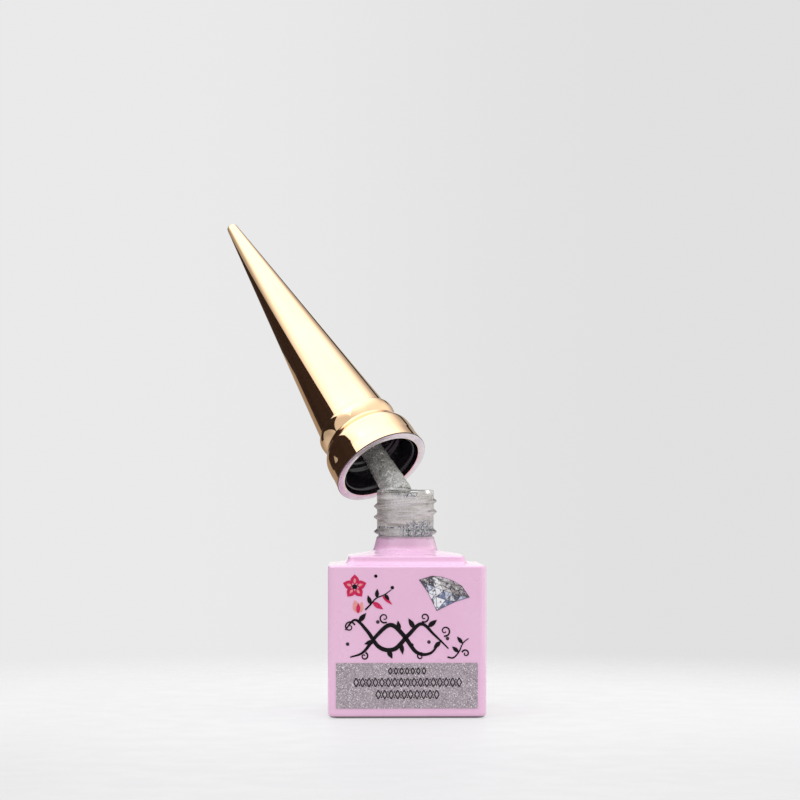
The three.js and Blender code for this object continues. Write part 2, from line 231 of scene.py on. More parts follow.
def mouth_rim_material():
    """The cap's flat end face: the same metallising, thin and silvery where it wears on the gate."""
    shader = Shader("mouth_rim_metallised", Metallic=0.75, Coat_Weight=0.3, Coat_Roughness=0.1)
    tone = shader.ramp(shader.noise(3, 4), [(0.35, (0.70, 0.62, 0.65)), (0.65, (0.82, 0.76, 0.77))])
    shader.feed("Base Color", tone)
    shader.mottled("Roughness", 1.2, 4, 0.3, 0.7, 0.16, 0.28)
    shader.feed("Normal", shader.bump(shader.noise(0.4, 3), 0.12, 0.02))
    return shader.material


def lacquer_material():
    """Pale pink sprayed lacquer: smooth, glossy, with the faintest pearl and orange peel."""
    shader = Shader("pink_lacquer", Coat_Weight=0.8, Coat_Roughness=0.04, Coat_IOR=1.5)
    cloud = shader.ramp(shader.noise(9, 3), [(0.3, (0.775, 0.455, 0.655)), (0.7, (0.80, 0.49, 0.685))])
    pearl = shader.span(shader.channel(shader.cells(0.06).outputs["Color"]), 0.9, 1.0, 0.0, 0.25)
    height = shader.axes()["Z"]
    ragged = shader.math("ADD", height, shader.span(shader.noise(1.2, 3), 0.3, 0.7, -0.00012, 0.00012))
    # Painted shade: the lacquer is darker up the neck from 33.6 mm, and darkest in a ragged band just under
    # its top edge, beneath the glass bead.
    thin = shader.math("MAXIMUM", shader.span(height, 0.0336, 0.0344, 0.0, 0.36),
                       shader.span(ragged, 0.0351, 0.0357, 0.0, 1.0))
    pearly = shader.mix(pearl, cloud, (0.90, 0.68, 0.82))
    sprayed = shader.mix(thin, pearly, (0.40, 0.27, 0.35))
    # Painted contact shadow: the lacquer turns near black in its lowest 0.65 mm, where the heel meets the
    # floor.
    painted_contact_shadow = shader.span(height, 0.00065, 0.0003, 0.0, 0.95)
    shader.feed("Base Color", shader.mix(painted_contact_shadow, sprayed, (0.03, 0.012, 0.022)))
    shader.mottled("Roughness", 4, 3, 0.3, 0.7, 0.26, 0.34)
    peel = shader.bump(shader.noise(1.3, 2), 0.06, 0.03)
    shader.feed("Normal", peel)
    return shader.material


def glass_material():
    """Clear pressed glass with slight mould waviness and a breath of haze."""
    shader = Shader("clear_glass", Transmission_Weight=1.0, IOR=1.5)
    shader.toned(6, 2, [(0.3, (0.95, 0.96, 0.945)), (0.7, (0.985, 0.985, 0.975))])
    shader.mottled("Roughness", 2.0, 3, 0.35, 0.75, 0.01, 0.06)
    shader.feed("Normal", shader.bump(shader.noise(1.4, 2), 0.14, 0.06))
    return shader.material


def glitter_gel_material(name, tones, flake_mm=0.2, tilt=1.0, metallic=0.35):
    """Clear gel packed with silver flakes: each Voronoi cell is one flake at its own tilt and tone."""
    shader = Shader(name, Metallic=metallic, Coat_Weight=0.9, Coat_Roughness=0.06, Coat_IOR=1.48)
    flakes = shader.cells(flake_mm)
    color = flakes.outputs["Color"]
    tone = shader.ramp(shader.channel(color, "Green"), tones)
    cloud = shader.span(shader.noise(2.2, 3, 0.6), 0.35, 0.68, 0.0, 0.55)
    base = shader.mix(cloud, tone, tones[len(tones) // 2][1])
    height = shader.axes()["Z"]
    # Paler up the stem from 48.5 mm: partly the pale rod showing through the gel, and partly painted light
    # where the stem runs up into the dark cap.
    rod_and_painted_light = shader.span(height, 0.0485, 0.058, 0.0, 0.6)
    shader.feed("Base Color", shader.mix(rod_and_painted_light, base, (0.84, 0.83, 0.79)))
    shader.feed("Roughness", shader.span(shader.channel(color, "Blue"), 0.0, 1.0, 0.18, 0.5))
    flake_normal = shader.flake_normal(color, tilt)
    shader.feed("Normal", shader.bump(shader.noise(0.7, 3, 0.6), 0.25, 0.1, flake_normal))
    shader.feed("Coat Normal", shader.bump(shader.noise(1.1, 2), 0.3, 0.12))
    return shader.material


def neck_film_material():
    """Gel wetting the inside of the neck: thin and beige-grey, with dense dark glitter where it has run, and
    a thin ring of it painted as shade in the crease above the bead.
    """
    shader = Shader("neck_gel_film", Coat_Weight=0.2, Coat_Roughness=0.1)
    flakes = shader.cells(0.19)
    color = flakes.outputs["Color"]
    pale = shader.ramp(shader.channel(color, "Green"), [
        (0.0, (0.60, 0.565, 0.53)), (0.55, (0.72, 0.68, 0.65)),
        (0.86, (0.80, 0.77, 0.75)), (0.95, (0.97, 0.97, 0.96)),
    ])
    dense = shader.ramp(shader.channel(color, "Green"), [
        (0.0, (0.05, 0.055, 0.075)), (0.3, (0.17, 0.18, 0.22)),
        (0.6, (0.52, 0.52, 0.55)), (0.85, (0.96, 0.97, 0.98)),
    ])
    squeezed = shader.node("ShaderNodeVectorMath", {0: shader.coordinates, 1: (0.12, 0.12, 1.0)},
                           operation="MULTIPLY").outputs[0]
    drag = shader.noise(0.7, 3, 0.6, squeezed)
    pale = shader.mix(shader.span(drag, 0.5, 0.64, 0.0, 0.7), pale, (0.97, 0.94, 0.95))
    pale = shader.mix(shader.span(drag, 0.48, 0.38, 0.0, 0.75), pale, (0.36, 0.34, 0.31))
    split = shader.axes()
    height, side = split["Z"], split["X"]
    low = shader.span(height, 0.0405, 0.0375, 0.0, 1.0)
    middle = shader.math("MULTIPLY", shader.span(side, -0.0025, 0.0012, 0.1, 1.0),
                         shader.span(side, 0.0050, 0.0042, 0.15, 1.0))
    patch = shader.math("MULTIPLY", low, middle)
    high_patch = shader.math("MULTIPLY", shader.span(height, 0.0425, 0.0442, 0.0, 0.55),
                             shader.span(shader.math("ABSOLUTE", side), 0.0034, 0.0016, 0.0, 1.0))
    # Painted shade: a thin dark ring of dense glitter at 37.8 mm, in the crease just above the glass bead.
    off_bead_crease = shader.math("ABSOLUTE", shader.math("SUBTRACT", height, 0.0378))
    ring = shader.span(off_bead_crease, 0.0004, 0.0001, 0.0, 0.75)
    high_patch = shader.math("ADD", high_patch, ring)
    spread = shader.math("ADD", shader.math("ADD", patch, high_patch),
                         shader.span(shader.noise(1.1, 4, 0.7), 0.3, 0.75, -0.45, 0.4))
    factor = shader.span(spread, 0.25, 0.75, 0.0, 1.0)
    shader.feed("Base Color", shader.mix(factor, pale, dense))
    shader.feed("Metallic", shader.span(factor, 0.0, 1.0, 0.0, 0.45))
    shader.feed("Roughness", shader.span(shader.channel(color, "Blue"), 0.0, 1.0, 0.3, 0.6))
    shader.feed("Normal", shader.flake_normal(color, 0.8))
    return shader.material


def glitter_print_material():
    """Silver-mauve glitter print under varnish."""
    shader = Shader("glitter_print", Metallic=0.35, Coat_Weight=0.5, Coat_Roughness=0.12)
    color = shader.cells(0.16).outputs["Color"]
    fine = shader.ramp(shader.channel(color, "Green"), [
        (0.0, (0.17, 0.135, 0.155)), (0.45, (0.34, 0.28, 0.32)),
        (0.8, (0.47, 0.40, 0.44)), (0.96, (0.92, 0.88, 0.90)),
    ])
    patches = shader.span(shader.noise(0.9, 4, 0.7), 0.3, 0.7, 0.0, 0.5)
    shader.feed("Base Color", shader.mix(patches, fine, (0.40, 0.33, 0.375)))
    shader.feed("Roughness", shader.span(shader.channel(color, "Blue"), 0.0, 1.0, 0.35, 0.6))
    shader.feed("Normal", shader.flake_normal(color, 0.55))
    return shader.material


def moulded_material(name, dark, pale, roughness, grain_mm=0.35, coat=0.0):
    """Moulded plastic: two close tones, patchy roughness and a fine grain."""
    shader = Shader(name, Coat_Weight=coat, Coat_Roughness=0.05, Specular_IOR_Level=0.35)
    shader.toned(2.5, 3, [(0.35, dark), (0.65, pale)])
    shader.mottled("Roughness", 1.4, 3, 0.3, 0.7, roughness, roughness * 1.5)
    shader.feed("Normal", shader.bump(shader.noise(grain_mm, 3), 0.1, 0.03))
    return shader.material


def ink_material(name, dark, pale, roughness=0.35):
    """Screen-printed ink: slightly uneven density and a thin varnish."""
    shader = Shader(name, Specular_IOR_Level=0.12)
    shader.feed("Base Color", shader.ramp(shader.noise(0.5, 4, 0.7), [(0.35, dark), (0.7, pale)]))
    shader.mottled("Roughness", 0.3, 3, 0.3, 0.7, roughness, roughness + 0.12)
    shader.feed("Normal", shader.bump(shader.noise(0.12, 2), 0.15, 0.01))
    return shader.material


def gem_material():
    """Gem print: each facet's own tone, crossed by soft streaks."""
    shader = Shader("gem_print", Coat_Weight=0.15, Coat_Roughness=0.06)
    tone = shader.node("ShaderNodeVertexColor", layer_name="facet_tone").outputs["Color"]
    streak = shader.span(shader.noise(0.6, 4, 0.75), 0.53, 0.60, 0.0, 0.85)
    dark = shader.span(shader.noise(0.8, 5, 0.8), 0.53, 0.57, 0.0, 0.92)
    washed = shader.mix(streak, tone, (0.80, 0.77, 0.82))
    shader.feed("Base Color", shader.mix(dark, washed, (0.04, 0.04, 0.06)))
    shader.mottled("Roughness", 0.4, 2, 0.3, 0.7, 0.25, 0.4)
    return shader.material


def steel_material():
    shader = Shader("staple_steel", Metallic=1.0)
    shader.toned(0.3, 3, [(0.3, (0.50, 0.50, 0.52)), (0.7, (0.68, 0.68, 0.70))])
    shader.mottled("Roughness", 0.1, 3, 0.3, 0.7, 0.25, 0.45)
    return shader.material


def floor_material(clear_radius, fade_radius):
    """Pale board that fades out into the background before its edge."""
    shader = Shader("pale_floor", Specular_IOR_Level=0.2, Emission_Color=(1.0, 1.0, 0.995, 1.0))
    shader.toned(60, 3, [(0.3, (0.207, 0.207, 0.207)), (0.7, (0.213, 0.213, 0.213))])
    shader.mottled("Roughness", 8, 2, 0.3, 0.7, 0.5, 0.6)
    split = shader.axes()
    forward = shader.math("ADD", split["Y"], 0.08)
    squares = [shader.math("MULTIPLY", along, along) for along in (split["X"], forward)]
    radius = shader.math("SQRT", shader.math("ADD", *squares))
    shader.feed("Alpha", shader.span(radius, clear_radius, fade_radius, 1.0, 0.0))
    shader.feed("Emission Strength", shader.span(split["Y"], -0.12, 0.0, 0.495, 0.56))
    return shader.material


SILVER = [(0.0, (0.11, 0.11, 0.10)), (0.4, (0.28, 0.275, 0.255)),
          (0.75, (0.43, 0.425, 0.40)), (0.93, (0.97, 0.97, 0.93))]
PALE_SILVER = [(0.0, (0.28, 0.28, 0.265)), (0.4, (0.50, 0.49, 0.47)),
               (0.75, (0.64, 0.63, 0.60)), (0.9, (0.98, 0.98, 0.96))]

GOLD = gold_material()
MOUTH_RIM = mouth_rim_material()
LACQUER = lacquer_material()
GLASS = glass_material()
STEM_GEL = glitter_gel_material("stem_glitter_gel", SILVER)
POOL_GEL = glitter_gel_material("pool_glitter_gel", PALE_SILVER, 0.22)
BULK_GEL = glitter_gel_material("bulk_glitter_gel", SILVER, 0.3)
NECK_FILM = neck_film_material()
GLITTER_PRINT = glitter_print_material()
BLACK = moulded_material("black_plastic", (0.008, 0.007, 0.009), (0.016, 0.014, 0.018), 0.12)
# Painted shade: a dark ring for the rounding of the cap mouth's outer edge.
SHADED_MOUTH_EDGE = moulded_material("shaded_mouth_edge", (0.05, 0.035, 0.03), (0.11, 0.08, 0.07), 0.22)
ROD = moulded_material("rod_plastic", (0.74, 0.73, 0.69), (0.82, 0.81, 0.78), 0.4)
LINER = moulded_material("liner_foam", (0.72, 0.71, 0.68), (0.84, 0.83, 0.80), 0.7, 0.15)
BRISTLE = moulded_material("wet_bristle", (0.24, 0.23, 0.22), (0.50, 0.49, 0.47), 0.25, 0.12, coat=0.7)
BLACK_INK = ink_material("black_ink", (0.003, 0.0025, 0.003), (0.008, 0.006, 0.008))
ROSE_INK = ink_material("rose_ink", (0.50, 0.012, 0.07), (0.66, 0.035, 0.13))
BLUSH_INK = ink_material("blush_ink", (0.68, 0.24, 0.24), (0.82, 0.38, 0.36))
SMOKE_INK = ink_material("smoke_ink", (0.022, 0.017, 0.02), (0.06, 0.048, 0.055))
GEM = gem_material()
STEEL = steel_material()


# ---------------------------------------------------------------- mesh helpers

def linked(name, data):
    """A new object holding this data, in the scene."""
    holder = bpy.data.objects.new(name, data)
    SCENE.collection.objects.link(holder)
    return holder


def smooth_mesh(name, vertices, faces, materials):
    """A smooth-shaded mesh from millimetres, its normals facing out."""
    mesh = bpy.data.meshes.new(name)
    mesh.from_pydata([Vector(vertex) * MM for vertex in vertices], [], faces)
    for material in materials:
        mesh.materials.append(material)
    build = bmesh.new()
    build.from_mesh(mesh)
    bmesh.ops.recalc_face_normals(build, faces=build.faces)
    for face in build.faces:
        face.smooth = True
    build.to_mesh(mesh)
    build.free()
    return mesh


def add_piece(name, vertices, faces, materials, body, place=None, sharp_deg=None):
    """A smooth mesh piece in millimetres that rides on a CAD body."""
    mesh = smooth_mesh(name, vertices, faces, materials)
    if sharp_deg is not None:
        mesh.set_sharp_from_angle(angle=math.radians(sharp_deg))
    if place is not None:
        mesh.transform(place)
    piece = linked(name, mesh)
    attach(piece, body)
    return piece


def weight_normals(piece):
    """Keeps wide faces flat beside small round edges."""
    modifier = piece.modifiers.new("weighted", "WEIGHTED_NORMAL")
    modifier.mode = "FACE_AREA"
    modifier.weight = 80
    modifier.keep_sharp = True
    return piece


def skin(rings, closed=False):
    """Vertices and faces over rings of points, bottom to top. A ring of one point is a pole."""
    vertices = []
    indices = []
    count = max(len(ring) for ring in rings)
    for ring in rings:
        start = len(vertices)
        vertices.extend(ring)
        indices.append([start] * count if len(ring) == 1 else list(range(start, start + count)))
    pairs = list(zip(indices, indices[1:]))
    if closed:
        pairs.append((indices[-1], indices[0]))
    faces = []
    for low, high in pairs:
        for step in range(count):
            after = (step + 1) % count
            corners = []
            for vertex in (low[step], low[after], high[after], high[step]):
                if vertex not in corners:
                    corners.append(vertex)
            faces.append(corners)
    return vertices, faces


POLE = 1e-6


def ring_angles(count):
    return [2 * math.pi * (step + 0.5) / count for step in range(count)]


def circle_ring(radius, height, count):
    """A level ring about the Z axis. The radius is a number or a function of the angle."""
    if not callable(radius) and radius < POLE:
        return [Vector((0, 0, height))]
    reach = radius if callable(radius) else lambda angle: radius
    return [Vector((reach(angle) * math.cos(angle), reach(angle) * math.sin(angle), height))
            for angle in ring_angles(count)]


def smooth_share(share):
    """A share clamped to 0..1, easing at both ends."""
    share = min(max(share, 0), 1)
    return share * share * (3 - 2 * share)


def square_ring(half, height, corner, count):
    """A square with round corners; where corner equals half it is circle_ring's circle."""
    if half < POLE:
        return [Vector((0, 0, height))]
    quarter = count // 4
    ring = []
    for step in range(count):
        side = step // quarter
        angle = math.radians(90 * side + 90 * (step % quarter + 0.5) / quarter)
        sign_x = 1 if side in (0, 3) else -1
        sign_y = 1 if side in (0, 1) else -1
        centre = half - corner
        ring.append(Vector((sign_x * centre + corner * math.cos(angle),
                            sign_y * centre + corner * math.sin(angle), height)))
    return ring


def bezier(start, first, second, end, steps):
    """Points after start along a cubic curve in the profile plane."""
    points = []
    for step in range(1, steps + 1):
        t = step / steps
        weights = ((1 - t) ** 3, 3 * t * (1 - t) ** 2, 3 * t * t * (1 - t), t ** 3)
        points.append(tuple(sum(w * p[axis] for w, p in zip(weights, (start, first, second, end)))
                            for axis in (0, 1)))
    return points


def arc(centre, radius, start_deg, end_deg, steps):
    angles = [math.radians(start_deg + (end_deg - start_deg) * step / steps) for step in range(steps + 1)]
    return [(centre[0] + radius * math.cos(angle), centre[1] + radius * math.sin(angle)) for angle in angles]


def filleted(corners, steps=5):
    """A profile through (radius, height, fillet) corners, with each fillet drawn as a round stretch."""
    points = []
    for index, (x, y, fillet) in enumerate(corners):
        if not fillet:
            points.append((x, y))
            continue
        here = Vector((x, y))
        before = here + (Vector(corners[index - 1][:2]) - here).normalized() * fillet
        after = here + (Vector(corners[(index + 1) % len(corners)][:2]) - here).normalized() * fillet
        points.append(tuple(before))
        points += bezier(before, before.lerp(here, 0.55), after.lerp(here, 0.55), after, steps)
    return points


def turned(name, profile, count, materials, body, place=None, closed=False):
    rings = [circle_ring(radius, height, count) for radius, height in profile]
    vertices, faces = skin(rings, closed)
    return weight_normals(add_piece(name, vertices, faces, materials, body, place))


def ridge(distance, half_width):
    """A round-topped ridge, 1 at its middle and 0 beyond its half width."""
    if abs(distance) >= half_width:
        return 0.0
    return 0.5 * (1 + math.cos(math.pi * distance / half_width))


def helix_ridge(angle, height, start_deg, turns, start_z, pitch, half_width, fade_deg=35):
    """Height of a right-hand thread's ridge at an angle and height, tapered at both ends."""
    tallest = 0.0
    for turn in range(int(turns) + 2):
        along = math.degrees(angle) % 360 - start_deg + 360 * turn
        if not 0 <= along <= 360 * turns:
            continue
        centre = start_z + pitch * along / 360
        fade = min(1.0, along / fade_deg, (360 * turns - along) / fade_deg)
        tallest = max(tallest, math.sin(fade * math.pi / 2) * ridge(height - centre, half_width))
    return tallest


# ---------------------------------------------------------------- bottle

def corner_radius(half, square_half, square_corner, round_half):
    if half <= round_half:
        return half
    share = min((half - round_half) / (square_half - round_half), 1)
    return round_half + (square_corner - round_half) * share


def body_outline():
    """(half width, height, corner radius) up the outside of the lacquer."""
    steps = 8
    points = arc((BODY_FOOT_HALF - HEEL_RADIUS, HEEL_RADIUS), HEEL_RADIUS, -75, 0, steps)
    points += arc((BODY_TOP_HALF - SHOULDER_EDGE_RADIUS, SHOULDER_EDGE_Z), SHOULDER_EDGE_RADIUS, 0, 78, steps)
    points.append(COVE_START)
    points += bezier(COVE_START, COVE_BEND, COVE_BEND, TIER_TOP, steps)
    points += arc((TIER_TOP[0] - TIER_EDGE_RADIUS, TIER_TOP[1]), TIER_EDGE_RADIUS, 0, 72, steps)[1:]
    points.append(NECK_FOOT)
    points += bezier(NECK_FOOT, NECK_FILLET_BEND, NECK_FILLET_BEND, NECK_FILLET_TOP, steps)
    points.append(LACQUER_TOP)
    return [(half, height, corner_radius(half, TIER_TOP[0], BODY_CORNER, NECK_FOOT[0]))
            for half, height in points]


def inset(outline, distance):
    """The outline moved into the material by a distance."""
    moved = []
    for index, (half, height, corner) in enumerate(outline):
        before = outline[max(index - 1, 0)]
        after = outline[min(index + 1, len(outline) - 1)]
        run = Vector((after[0] - before[0], after[1] - before[1])).normalized()
        shift = distance * run.y
        moved.append((half - shift, height + distance * run.x, corner - shift))
    return moved


def lacquer_coat():
    count = 96
    outer = body_outline()
    inner = inset(outer, LACQUER_THICKNESS)
    lip = [((outer[-1][0] + inner[-1][0]) / 2, outer[-1][1] + 0.08, (outer[-1][2] + inner[-1][2]) / 2)]
    rings = [square_ring(*point, count) for point in outer + lip + inner[::-1]]
    vertices, faces = skin(rings, closed=True)
    piece = add_piece("lacquer_coat", vertices, faces, [LACQUER], "bottle")
    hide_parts("pink_lacquer_coat")
    return weight_normals(piece)


def cavity_outline(top_z):
    square = (CAVITY_HALF, CAVITY_CORNER, BORE_RADIUS + 0.35)
    floor_radius = 2.0
    points = [(0, CAVITY_FLOOR_Z)]
    points += arc((CAVITY_HALF - floor_radius, CAVITY_FLOOR_Z + floor_radius), floor_radius, -90, 0, 8)
    points.append((CAVITY_HALF, min(top_z, CAVITY_SHOULDER_Z)))
    if top_z > BORE_FOOT_Z:
        points += bezier(points[-1], (CAVITY_HALF, BORE_FOOT_Z - 1), (BORE_RADIUS, BORE_FOOT_Z - 2),
                         (BORE_RADIUS, BORE_FOOT_Z), 10)
    return [(half, height, corner_radius(half, *square)) for half, height in points]


def neck_radius(angle, height):
    """Outside radius of the neck: flare under the bead, bead, thread and rolled rim."""
    flare_start = LACQUER_TOP[1] + 0.1
    share = min(max((height - flare_start) / 0.4, 0), 1)
    radius = LACQUER_TOP[0] - GLASS_INSET + (NECK_RADIUS - LACQUER_TOP[0] + GLASS_INSET) * share
    bead = ridge(height - BEAD_Z, 0.72) ** 0.75
    radius += (BEAD_RADIUS - NECK_RADIUS) * bead
    thread = helix_ridge(angle, height, THREAD_START_DEG, THREAD_TURNS, THREAD_START_Z, THREAD_PITCH,
                         THREAD_HALF_WIDTH)
    radius += THREAD_HEIGHT * 0.97 * thread
    roll = 0.35
    below = RIM_Z - height
    if below < roll:
        radius -= roll - math.sqrt(max(roll ** 2 - (roll - below) ** 2, 0))
    return radius


def glass_bottle():
    count = 176
    skin_outline = inset(body_outline(), GLASS_INSET)
    rings = [square_ring(0, 0.25, 0, count), square_ring(FOOT_HALF - 1.6, 0.25, 1.4, count)]
    rings += [square_ring(half, 0, BODY_CORNER, count) for half in (FOOT_HALF - 1.2, FOOT_HALF)]
    rings.append(square_ring(FOOT_HALF + 0.15, skin_outline[0][1] - 0.1, BODY_CORNER, count))
    rings += [square_ring(*point, count) for point in skin_outline[:-1]]
    start = skin_outline[-1][1]
    rows = 170
    for row in range(rows + 1):
        share = row / rows
        height = start + (RIM_Z - start) * (share + 0.012 * math.sin(math.pi * share))
        height = min(height, RIM_Z)
        rings.append(circle_ring(lambda angle: neck_radius(angle, height), height, count))
    lip = [(BORE_RADIUS + 0.35, RIM_Z), (BORE_RADIUS + 0.12, RIM_Z - 0.08), (BORE_RADIUS, RIM_Z - 0.35)]
    rings += [circle_ring(radius, height, count) for radius, height in lip]
    rings += [square_ring(*point, count) for point in cavity_outline(RIM_Z)[::-1]]
    vertices, faces = skin(rings)
    piece = add_piece("bottle_glass", vertices, faces, [GLASS], "bottle")
    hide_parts("glass_bottle")
    return weight_normals(piece)


def gel_fill():
    count = 96
    wall = inset(cavity_outline(GEL_TOP_Z), 0.12)
    rings = [square_ring(*point, count) for point in wall]
    half, height, corner = wall[-1]
    rings += [square_ring(half - 0.4, height - 0.35, corner - 0.4, count),
              square_ring(half - 1.6, height - 0.6, corner - 1.0, count),
              square_ring(0, height - 0.7, 0, count)]
    vertices, faces = skin(rings)
    piece = add_piece("gel_fill", vertices, faces, [BULK_GEL], "bottle")
    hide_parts("gel_polish")
    return piece


def neck_film():
    """Gel wetting the bore, a little into the glass so that no air shows between them."""
    count = 120
    foot = BORE_FOOT_Z + 0.3
    levels = 26
    outer_rings = []
    inner_rings = []
    for level in range(levels + 1):
        outer, inner = [], []
        for angle in ring_angles(count):
            ragged = noise.noise(Vector((math.cos(angle) * 1.7, math.sin(angle) * 1.7, 3.1)))
            top = RIM_Z - 0.75 + 0.35 * ragged
            height = foot + (top - foot) * level / levels
            spot = Vector((math.cos(angle) * 3, math.sin(angle) * 3, height * 0.8))
            swell = 0.11 + 0.05 * noise.noise(spot)
            thin = min(1.0, 0.25 + 3 * (1 - level / levels))
            for ring, radius in ((outer, BORE_RADIUS + 0.02), (inner, BORE_RADIUS - swell * thin)):
                ring.append(Vector((radius * math.cos(angle), radius * math.sin(angle), height)))
        outer_rings.append(outer)
        inner_rings.append(inner)
    vertices, faces = skin(outer_rings + inner_rings[::-1], closed=True)
    return add_piece("neck_gel_film", vertices, faces, [NECK_FILM], "bottle")


def rim_pool():
    """Gel pooled where the loaded stem rests on the left of the rim."""
    count = 84
    reach = NECK_RADIUS + 0.07
    centre = Vector((-2.5, 0.9))
    base_z = RIM_Z - 0.6
    rows = 12
    rings = []
    for row in range(rows + 1):
        share = 1 - row / rows
        ring = []
        for angle in ring_angles(count):
            direction = Vector((math.cos(angle), math.sin(angle)))
            lobes = 0.16 * noise.noise(Vector((direction.x * 1.4, direction.y * 1.4, 7.7)))
            spread = 3.55 * (1 + lobes)
            spot = centre + direction * spread * share
            if spot.length > reach:
                spot = spot.normalized() * reach
            dome = (1 - share ** 2) ** 0.55
            lump = 0.10 * noise.noise(Vector((spot.x * 0.9, spot.y * 0.9, 1.3)))
            ring.append(Vector((spot.x, spot.y, base_z + (1.6 + lump) * dome)))
        rings.append(ring)
    rings[-1] = [Vector((centre.x, centre.y, base_z + 1.63))]
    under = [Vector((centre.x, centre.y, base_z - 0.2))]
    vertices, faces = skin([under] + rings)
    return add_piece("rim_gel_pool", vertices, faces, [POOL_GEL], "bottle")


# ---------------------------------------------------------------- front prints

FACE_SLOPE = (BODY_TOP_HALF - BODY_FOOT_HALF) / (SHOULDER_EDGE_Z - HEEL_RADIUS)


def front_point(x, z, lift):
    """A point on the front face at x and z, lifted off the lacquer."""
    return Vector((x, -(BODY_FOOT_HALF + FACE_SLOPE * (z - HEEL_RADIUS)) - lift, z))


def printed(name, outlines, material, lift=0.02, thickness=0.03):
    """Flat printed shapes on the front face, each a thin closed plate."""
    vertices = []
    faces = []
    for outline in outlines:
        start = len(vertices)
        count = len(outline)
        vertices += [front_point(x, z, lift + thickness) for x, z in outline]
        vertices += [front_point(x, z, lift) for x, z in outline]
        faces.append(list(range(start, start + count)))
        faces.append(list(range(start + 2 * count - 1, start + count - 1, -1)))
        for step in range(count):
            after = (step + 1) % count
            faces.append([start + step, start + count + step, start + count + after, start + after])
    return add_piece(name, vertices, faces, [material], "bottle", sharp_deg=40)


def stroke(path, width, steps_each=10):
    """A calligraphic stroke: smooth through its points, swelling and thinning by width(share)."""
    points = [Vector(point) for point in path]
    ends = [2 * points[0] - points[1]] + points + [2 * points[-1] - points[-2]]
    line = []
    for index in range(len(points) - 1):
        a, b, c, d = ends[index:index + 4]
        for step in range(steps_each):
            t = step / steps_each
            line.append(0.5 * (2 * b + (c - a) * t + (2 * a - 5 * b + 4 * c - d) * t ** 2
                               + (3 * b - a - 3 * c + d) * t ** 3))
    line.append(points[-1])
    left, right = [], []
    for index, spot in enumerate(line):
        ahead = line[min(index + 1, len(line) - 1)] - line[max(index - 1, 0)]
        normal = Vector((-ahead.y, ahead.x)).normalized()
        half = width(index / (len(line) - 1)) / 2
        left.append(spot + normal * half)
        right.append(spot - normal * half)
    return left, right


def stroke_cells(path, width, steps_each=10):
    """The stroke as short four-sided cells, so that it can loop over itself."""
    left, right = stroke(path, width, steps_each)
    return [[tuple(left[i]), tuple(right[i]), tuple(right[i + 1]), tuple(left[i + 1])]
            for i in range(len(left) - 1)]


def spiral(centre, radius, start_deg, turns, steps=10):
    """Points winding in to a centre, for a curl's end."""
    points = []
    for step in range(steps + 1):
        share = step / steps
        angle = math.radians(start_deg + 360 * turns * share)
        reach = radius * (1 - 0.82 * share)
        points.append((centre[0] + reach * math.cos(angle), centre[1] + reach * math.sin(angle)))
    return points


def leaf(base, tip, width, steps=10):
    """A pointed leaf from base to tip."""
    base, tip = Vector(base), Vector(tip)
    along = tip - base
    side = Vector((-along.y, along.x)).normalized()
    upper, lower = [], []
    for step in range(steps + 1):
        share = step / steps
        swell = width / 2 * math.sin(math.pi * share ** 0.8)
        upper.append(tuple(base + along * share + side * swell))
        lower.append(tuple(base + along * share - side * swell))
    return upper + lower[-2:0:-1]


def disc(centre, radius, steps=20):
    return [(centre[0] + radius * math.cos(2 * math.pi * step / steps),
             centre[1] + radius * math.sin(2 * math.pi * step / steps)) for step in range(steps)]


def lozenge(centre, half_width, half_height):
    x, z = centre
    return [(x - half_width, z), (x, z - half_height), (x + half_width, z), (x, z + half_height)]


def front_label():
    """The glitter panel: a thin plate with ragged ends where the print feathers out."""
    half, centre_x, low, high, corner = 14.1, -0.1, 1.7, 11.4, 0.35
    outline = []
    steps = 40
    for step in range(steps + 1):
        z = low + corner + (high - low - 2 * corner) * step / steps
        outline.append((centre_x + half + 0.05 * noise.noise(Vector((z * 2.2, 0, 0))), z))
    for step in range(steps + 1):
        z = high - corner - (high - low - 2 * corner) * step / steps
        outline.append((centre_x - half + 0.05 * noise.noise(Vector((z * 2.2, 5, 0))), z))
    piece = printed("glitter_label", [outline], GLITTER_PRINT, lift=0.02, thickness=0.1)
    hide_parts("front_glitter_label")


def outlined(corners, width):
    """A closed polygon drawn as a line of even width."""
    cells = []
    for index, corner in enumerate(corners):
        cells += stroke_cells([corner, corners[(index + 1) % len(corners)]], lambda share: width, 1)
    return cells


def band_prints():
    """Rows of small generic beadwork across the glitter panel: hollow lozenges with pairs of solid beads."""
    marks = []
    for z, left, right, size, pitch in ((9.45, -3.4, 3.3, 0.68, 1.12), (7.2, -10.2, 10.3, 0.88, 1.28),
                                        (4.8, -5.8, 5.8, 0.88, 1.29)):
        count = round((right - left) / pitch)
        for index in range(count + 1):
            x = left + (right - left) * index / count
            marks += outlined(lozenge((x, z), size * 0.56, size), 0.25)
            if index < count:
                between = x + (right - left) / count / 2
                marks += [lozenge((between, z + side * size * 0.62), size * 0.22, size * 0.26)
                          for side in (-1, 1)]
    printed("band_marks", marks, SMOKE_INK, lift=0.125, thickness=0.015)


